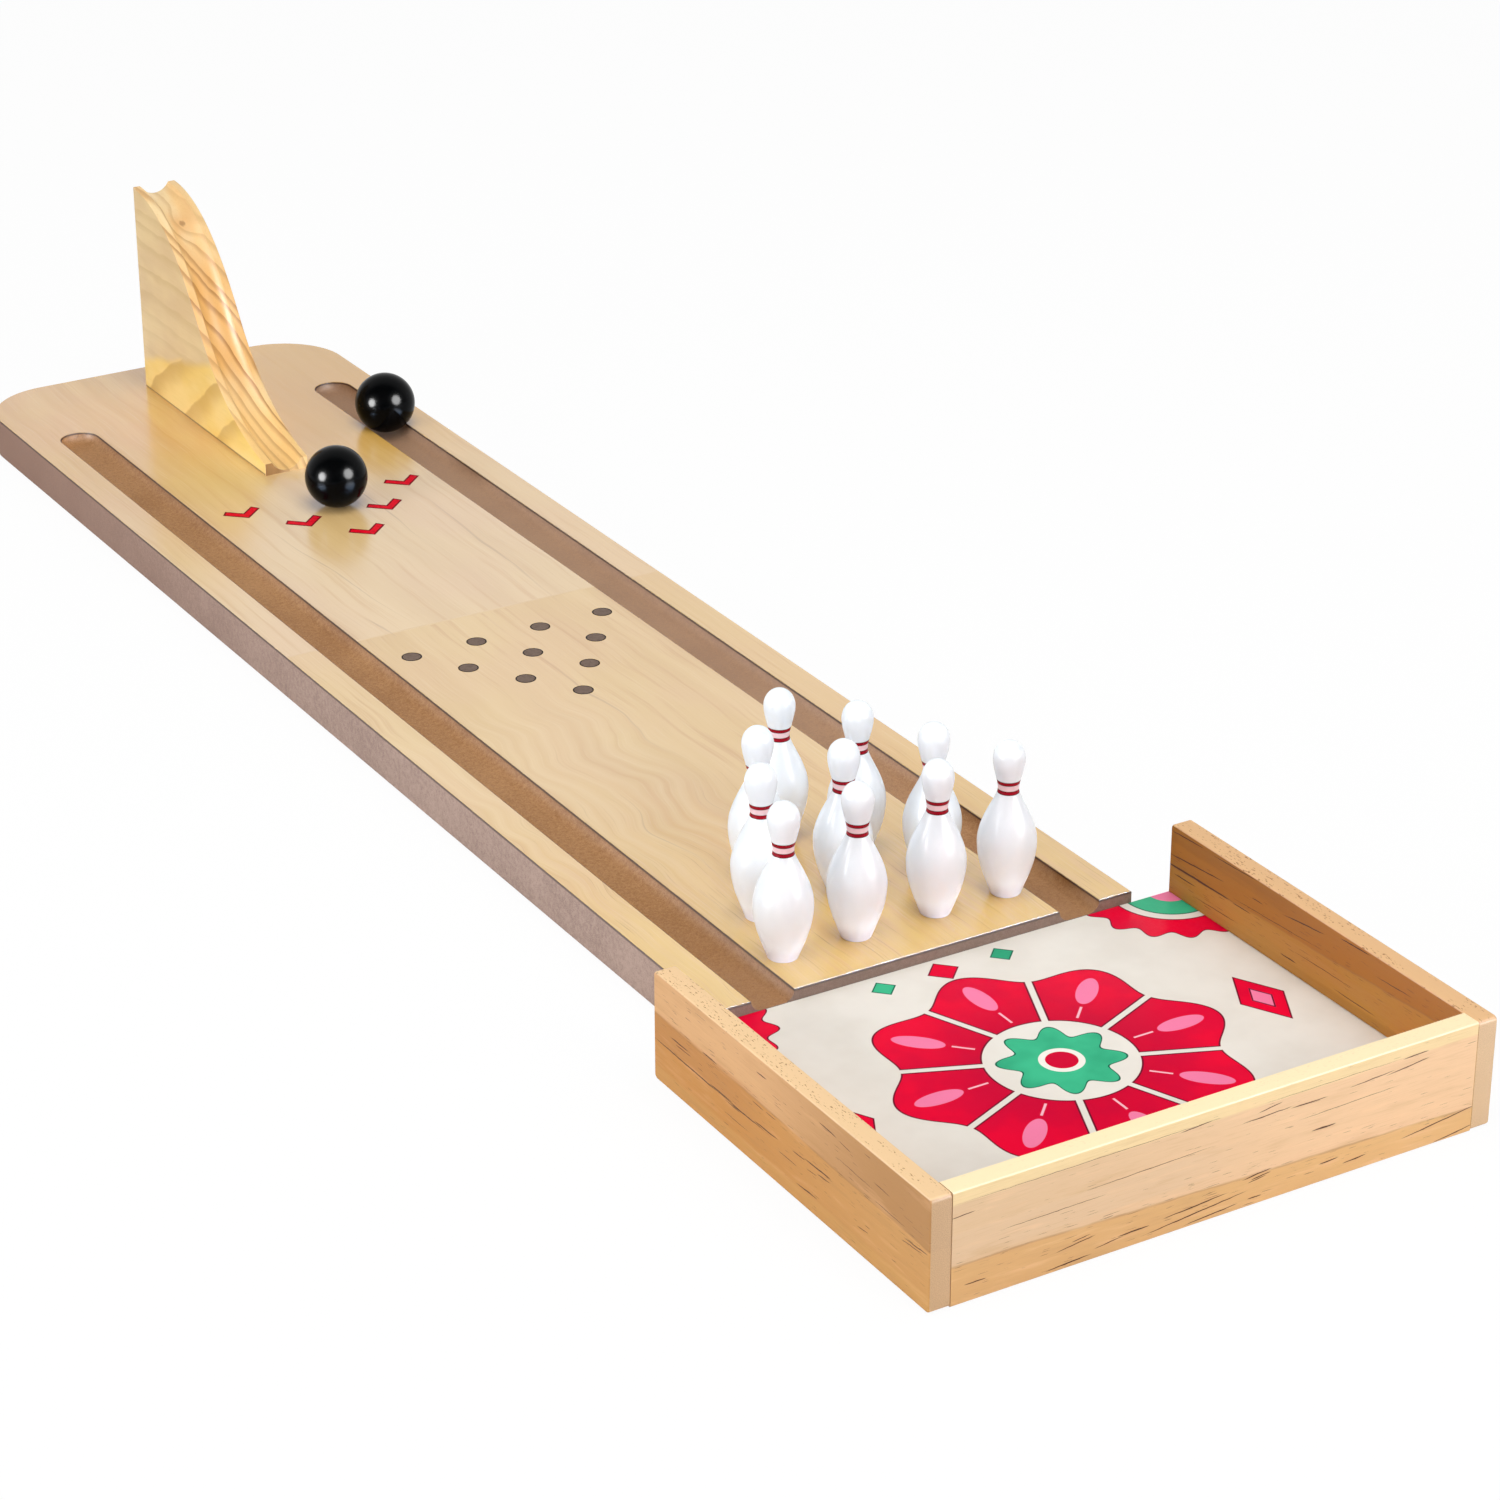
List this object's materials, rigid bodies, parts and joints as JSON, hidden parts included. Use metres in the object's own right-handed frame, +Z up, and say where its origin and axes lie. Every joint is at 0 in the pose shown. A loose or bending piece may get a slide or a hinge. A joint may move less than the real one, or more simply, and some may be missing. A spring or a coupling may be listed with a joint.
{
  "type": "tabletop bowling game",
  "caption": "Thick wooden lane board with a routed gutter along each side, a walled catching tray at one end, a grooved S-shaped ball ramp, balls and turned pins.",
  "frame": {"origin": "on the table, at the middle of the rectangle that the whole game covers", "axes": "+Z up, +Y along the lane from the catching tray to the ball ramp, +X to the right seen from the tray"},
  "size_m": [0.307, 1.1802, 0.16],
  "materials": {
    "lane_board": "satin printed maple on fibreboard",
    "side_wall_pine": "bare sanded pine",
    "front_wall_pine": "bare sanded pine",
    "floor_print": "satin printed paper on hardboard",
    "dowel_beech": "bare turned beech",
    "ramp_pine": "smooth sanded pine",
    "black_lacquer": "glossy black lacquer on turned wood",
    "white_lacquer": "glossy white lacquer on turned wood, red neck stripes"
  },
  "bodies": {
    "lane": {"lane_board": "lane_board"},
    "tray": {"tray_left_wall": "side_wall_pine", "tray_right_wall": "side_wall_pine", "tray_front_wall": "front_wall_pine", "tray_floor": "floor_print", "tray_rear_rail": "side_wall_pine", "left_corner_dowel_lower": "dowel_beech", "left_corner_dowel_upper": "dowel_beech", "left_rail_dowel": "dowel_beech", "right_corner_dowel_lower": "dowel_beech", "right_corner_dowel_upper": "dowel_beech", "right_rail_dowel": "dowel_beech"},
    "ramp": {"ball_ramp": "ramp_pine"},
    "first_ball": {"ball_1": "black_lacquer"},
    "second_ball": {"ball_2": "black_lacquer"},
    "pin_01_body": {"pin_01": "white_lacquer"},
    "pin_02_body": {"pin_02": "white_lacquer"},
    "pin_03_body": {"pin_03": "white_lacquer"},
    "pin_04_body": {"pin_04": "white_lacquer"},
    "pin_05_body": {"pin_05": "white_lacquer"},
    "pin_06_body": {"pin_06": "white_lacquer"},
    "pin_07_body": {"pin_07": "white_lacquer"},
    "pin_08_body": {"pin_08": "white_lacquer"},
    "pin_09_body": {"pin_09": "white_lacquer"},
    "pin_10_body": {"pin_10": "white_lacquer"}
  },
  "joints": [
    {"name": "tray_pull", "type": "slide", "parent": "lane", "child": "tray", "axis": [0, -1, 0], "range_m": [0, 0.06]},
    {"name": "ramp_lift", "type": "slide", "parent": "lane", "child": "ramp", "axis": [0, 0, 1], "range_m": [0, 0.06]},
    {"name": "ball_1_lift", "type": "slide", "parent": "lane", "child": "first_ball", "axis": [0, 0, 1], "range_m": [0, 0.06]},
    {"name": "ball_2_lift", "type": "slide", "parent": "lane", "child": "second_ball", "axis": [0, 0, 1], "range_m": [0, 0.06]},
    {"name": "pin_01_lift", "type": "slide", "parent": "lane", "child": "pin_01_body", "axis": [0, 0, 1], "range_m": [0, 0.1]},
    {"name": "pin_02_lift", "type": "slide", "parent": "lane", "child": "pin_02_body", "axis": [0, 0, 1], "range_m": [0, 0.1]},
    {"name": "pin_03_lift", "type": "slide", "parent": "lane", "child": "pin_03_body", "axis": [0, 0, 1], "range_m": [0, 0.1]},
    {"name": "pin_04_lift", "type": "slide", "parent": "lane", "child": "pin_04_body", "axis": [0, 0, 1], "range_m": [0, 0.1]},
    {"name": "pin_05_lift", "type": "slide", "parent": "lane", "child": "pin_05_body", "axis": [0, 0, 1], "range_m": [0, 0.1]},
    {"name": "pin_06_lift", "type": "slide", "parent": "lane", "child": "pin_06_body", "axis": [0, 0, 1], "range_m": [0, 0.1]},
    {"name": "pin_07_lift", "type": "slide", "parent": "lane", "child": "pin_07_body", "axis": [0, 0, 1], "range_m": [0, 0.1]},
    {"name": "pin_08_lift", "type": "slide", "parent": "lane", "child": "pin_08_body", "axis": [0, 0, 1], "range_m": [0, 0.1]},
    {"name": "pin_09_lift", "type": "slide", "parent": "lane", "child": "pin_09_body", "axis": [0, 0, 1], "range_m": [0, 0.1]},
    {"name": "pin_10_lift", "type": "slide", "parent": "lane", "child": "pin_10_body", "axis": [0, 0, 1], "range_m": [0, 0.1]}
  ]
}
